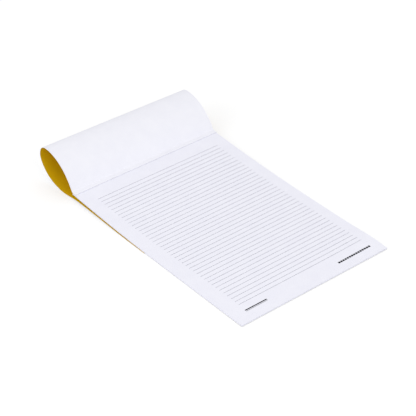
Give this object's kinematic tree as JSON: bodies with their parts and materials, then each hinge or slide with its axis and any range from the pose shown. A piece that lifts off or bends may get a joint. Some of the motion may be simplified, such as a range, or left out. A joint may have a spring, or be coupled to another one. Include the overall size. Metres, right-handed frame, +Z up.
{
  "type": "writing pad",
  "caption": "Writing pad of ruled white sheets bound at the head, its yellow card cover folded over and back under it, for taking notes by hand.",
  "frame": {"origin": "on the table, under the middle of the outline of the pad and its folded cover", "axes": "+Z up, square to the table; +Y from the foot of the sheets to their bound head, which is behind; +X to the right of someone who writes on the pad"},
  "size_m": [0.21, 0.3608, 0.0449],
  "materials": {
    "sheet_paper": "uncoated, matte",
    "backing_card": "uncoated, matte",
    "padding_glue": "dried glue film, soft satin",
    "cover_card": "coated and yellow outside, uncoated and white inside"
  },
  "bodies": {
    "root": {"page_block": "sheet_paper", "backing_board": "backing_card", "head_glue": "padding_glue", "cover": "cover_card"}
  },
  "joints": []
}
